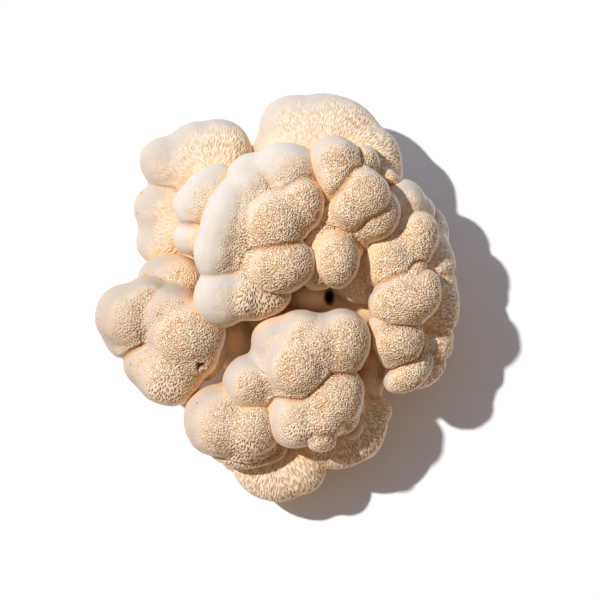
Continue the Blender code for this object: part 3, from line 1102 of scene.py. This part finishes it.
# Plumps the coarse skin up and keeps on it where teeth, fine faces and the painted warm shade and
# bounce light of hollows are
def shapeSkin(head, mesh, seed):
    points, normals = pointsOf(mesh), normalsOf(mesh)
    border, shaded, close = lobeBorders(head, points)
    beside = np.exp(-((border / marks["borderWidth"]) ** 2)) * close * shaded
    beside = beside * (normals[:, 2] > 0)
    plump = plumped(mesh, growth["plumpHead"])
    movePoints(mesh, plump)
    plumpNormals = normalsOf(mesh)
    toothed = toothedPart(head, points, normals, plumpNormals, seed)
    keep(mesh, "toothed", toothed)
    # painted warm shade and bounce light, as much as the mushroom closes round the skin
    hollowShadeAndBounce = closedIn(plump, plumpNormals)
    keep(mesh, "hollowShadeAndBounce", spreadOut(hollowShadeAndBounce, edgesOf(mesh), marks["hollowShadePasses"]))
    keep(mesh, "pale", np.full(len(points), head["pale"]))
    keep(mesh, "detail", np.maximum(toothed, marks["borderDetail"] * beside))
    movePoints(mesh, unevenness(plump, plumpNormals, seed))


# Softens the finely cut skin, presses its lobes on each other and marks the painted shade of their
# creases
def pressLobes(head, mesh):
    points, edges = pointsOf(mesh), edgesOf(mesh)
    share = growth["softenShare"]
    for step in range(growth["softenFine"]):
        points = (1 - share) * points + share * neighbourMean(points, edges)
    movePoints(mesh, points)
    border, shaded, close = lobeBorders(head, points)
    points = points + normalsOf(mesh) * (pressed(border, shaded, close) * mm)[:, None]
    # painted shade along each crease, on the lobes' shaded side
    creaseShade = np.exp(-(((border + marks["creaseShadeShift"]) / marks["creaseShadeWidth"]) ** 2))
    keep(mesh, "creaseShade", creaseShade * close * shaded)
    keep(mesh, "strands", strandsAt(head, points))
    movePoints(mesh, points)
    return points


# Cuts the gaps between the teeth, and the torn pit where there is one
def cutTeeth(head, mesh, points, seed):
    gap = teeth["onFans"] if head["node"].startswith("fan") else teeth["onHeads"]
    normals = normalsOf(mesh)
    toothed = kept(mesh, "toothed")
    # a pale rim on the shaded side: partly the margin's own paleness, partly painted glow of light
    # through the thin edge
    rim = ramp(normals[:, 2], *marks["rimOver"]) * ramp(normals[:, 2], *marks["rimUnder"])
    toShade = normals[:, :2] @ np.array(growth["shadeWay"])
    keep(mesh, "rim", rim * ramp(toShade, *marks["rimSide"]))
    along, stretch = combing(head, points, normals)
    gaps = gapsBetween(points, normals, toothed, along, stretch, gap, seed)
    # painted shade in the gaps, darker the deeper they are
    keep(mesh, "gaps", gaps * gap["shadeTone"])
    ruffle = noiseAt(points, teeth["ruffleSize"], seed) * teeth["ruffleDepth"] * toothed
    sunk = pitAt(head, points, seed)
    keep(mesh, "bruise", sunk)
    pitDepth = head["pit"]["depth"] if "pit" in head else 0
    drop = gaps * gap["depth"] + sunk * pitDepth
    movePoints(mesh, points + normals * ((ruffle - drop) * mm)[:, None])


def growHead(head, seed, material):
    mesh = meltedHead(head)
    shapeSkin(head, mesh, seed)
    coarse = len(mesh.vertices)
    refine(mesh)
    points = pressLobes(head, mesh)
    cutTeeth(head, mesh, points, seed)
    finishPiece(mesh, head["node"], material)
    triangles = sum(len(face.vertices) - 2 for face in mesh.polygons)
    print(head["node"], coarse, "coarse points,", triangles, "triangles")
    return triangles


# The flat cut that the mushroom stands on
def cutFoot(mesh):
    bm = bmesh.new()
    bm.from_mesh(mesh)
    whole = list(bm.verts) + list(bm.edges) + list(bm.faces)
    cut = bmesh.ops.bisect_plane(
        bm, geom=whole, plane_co=(0, 0, 0), plane_no=(0, 0, 1), clear_inner=True
    )
    rim = [part for part in cut["geom_cut"] if isinstance(part, bmesh.types.BMEdge)]
    bmesh.ops.holes_fill(bm, edges=rim)
    splitManySided(bm)
    bm.to_mesh(mesh)
    bm.free()


# The deep gap between the stem's limbs
def cutCleft(mesh):
    cleft = stemBase["cleft"]
    place = Matrix.Translation(Vector(cleft["at"]) * mm)
    place = place @ Matrix.Diagonal((*(size * mm for size in cleft["size"]), 1.0))
    bm = bmesh.new()
    bmesh.ops.create_cone(
        bm,
        cap_ends=True,
        segments=cleft["sides"],
        radius1=cleft["floor"],
        radius2=1.0,
        depth=1.0,
        matrix=place,
    )
    cutter = addObject("cleftWedge", meshFrom("cleftWedge", bm))
    stem = addObject("stemToCut", mesh)
    cut = stem.modifiers.new("Cleft", "BOOLEAN")
    cut.object = cutter
    carved = appliedMesh(stem)
    bpy.data.objects.remove(stem)
    bpy.data.objects.remove(cutter)
    return carved


# How much painted shade a point gets deep in the cleft, 0 to 1
def cleftShadeAt(points):
    cleft = stemBase["cleft"]
    x, y, z = cleft["at"]
    halfWidth, halfLength = cleft["size"][:2]
    away = np.hypot((points[:, 0] / mm - x) / halfWidth, (points[:, 1] / mm - y) / halfLength)
    inside = ramp(away, *cleft["shadeEdge"])
    return inside * ramp(points[:, 2] / mm, z + cleft["shadeFade"], z)


def growStem(material):
    bm = bmesh.new()
    for lump in stemBase["lumps"]:
        addLump(bm, lump)
    for limb in stemBase["limbs"]:
        addLimb(bm, stemBase["limbStart"], limb)
    mesh = melt("stem_skin", bm)
    movePoints(mesh, unevenness(pointsOf(mesh), normalsOf(mesh), stemBase["seed"]))
    cutFoot(mesh)
    mesh = cutCleft(mesh)
    # painted shade deep in the cleft
    keep(mesh, "deep", cleftShadeAt(pointsOf(mesh)))
    finishPiece(mesh, stemBase["node"], material)
    print(stemBase["node"], len(mesh.polygons), "faces")


skin = mushroomSkin()
total = 0
for seed, head in enumerate(heads):
    total += growHead(head, seed + 1, skin)
print("all heads", total, "triangles")
growStem(stemFlesh())

tableTop = {
    "reach": 1.5,  # metres from its middle to its edges
    "colour": (0.97, 0.97, 0.97, 1),
    "roughness": 0.9,
}

view = {
    "middle": (20 / 3, 0.0),  # mm, what lies under the middle of the picture
    "across": 200.0,  # mm across the picture at the height below
    "height": 30.0,
    "lens": 200.0,
    "film": 36.0,
    "sees": (0.01, 20),  # metres from the camera
}

light = {
    "sunWay": (0.68, -0.394, -1.0),
    "sunPower": 3.55,
    "sunWidth": 2.0,  # degrees
    "fill": 0.30,
    "coolSide": (0.70, 1.0, 1.5, 1),
    "warmSide": (0.80, 0.42, 0.08, 1),
    "warmWay": (0.2, -0.98, 0.0),
    "blend": 0.35,  # how far to both sides cool goes over to warm
}


def layFloor():
    bm = bmesh.new()
    bmesh.ops.create_grid(bm, x_segments=1, y_segments=1, size=tableTop["reach"])
    mesh = meshFrom("tableTop", bm)
    material, tree, shader = shaderNodes("whiteTable")
    shader.inputs["Base Color"].default_value = tableTop["colour"]
    shader.inputs["Roughness"].default_value = tableTop["roughness"]
    mesh.materials.append(material)
    floor = addObject("tableTop", mesh)


def setCamera():
    data = bpy.data.cameras.new("fromAbove")
    data.lens = view["lens"]
    data.sensor_width = view["film"]
    data.clip_start, data.clip_end = view["sees"]
    camera = addObject("fromAbove", data)
    away = view["across"] * view["lens"] / view["film"]
    camera.location = Vector((*view["middle"], view["height"] + away)) * mm
    bpy.context.scene.camera = camera


def setSun():
    data = bpy.data.lights.new("sun", "SUN")
    data.energy = light["sunPower"]
    data.angle = math.radians(light["sunWidth"])
    sun = addObject("sun", data)
    way = Vector(light["sunWay"])
    sun.rotation_euler = way.to_track_quat("-Z", "Y").to_euler()
    sun.location = -way


# Soft light from all round, cool on one side and warm on the other
def setRoom():
    world = bpy.data.worlds.new("softRoom")
    bpy.context.scene.world = world
    world.use_nodes = True
    tree = world.node_tree
    background = tree.nodes["Background"]
    direction = tree.nodes.new("ShaderNodeTexCoord").outputs["Generated"]
    side = calculate(tree, "ShaderNodeVectorMath", "DOT_PRODUCT", direction, light["warmWay"])
    warmth = fade(tree, side.outputs["Value"], -light["blend"], light["blend"])
    colour = mixColours(tree, warmth, light["coolSide"], light["warmSide"])
    tree.links.new(colour, background.inputs["Color"])
    background.inputs["Strength"].default_value = light["fill"]


layFloor()
setCamera()
setSun()
setRoom()
bpy.context.scene.view_settings.view_transform = "Standard"
print("table, camera and light are set")
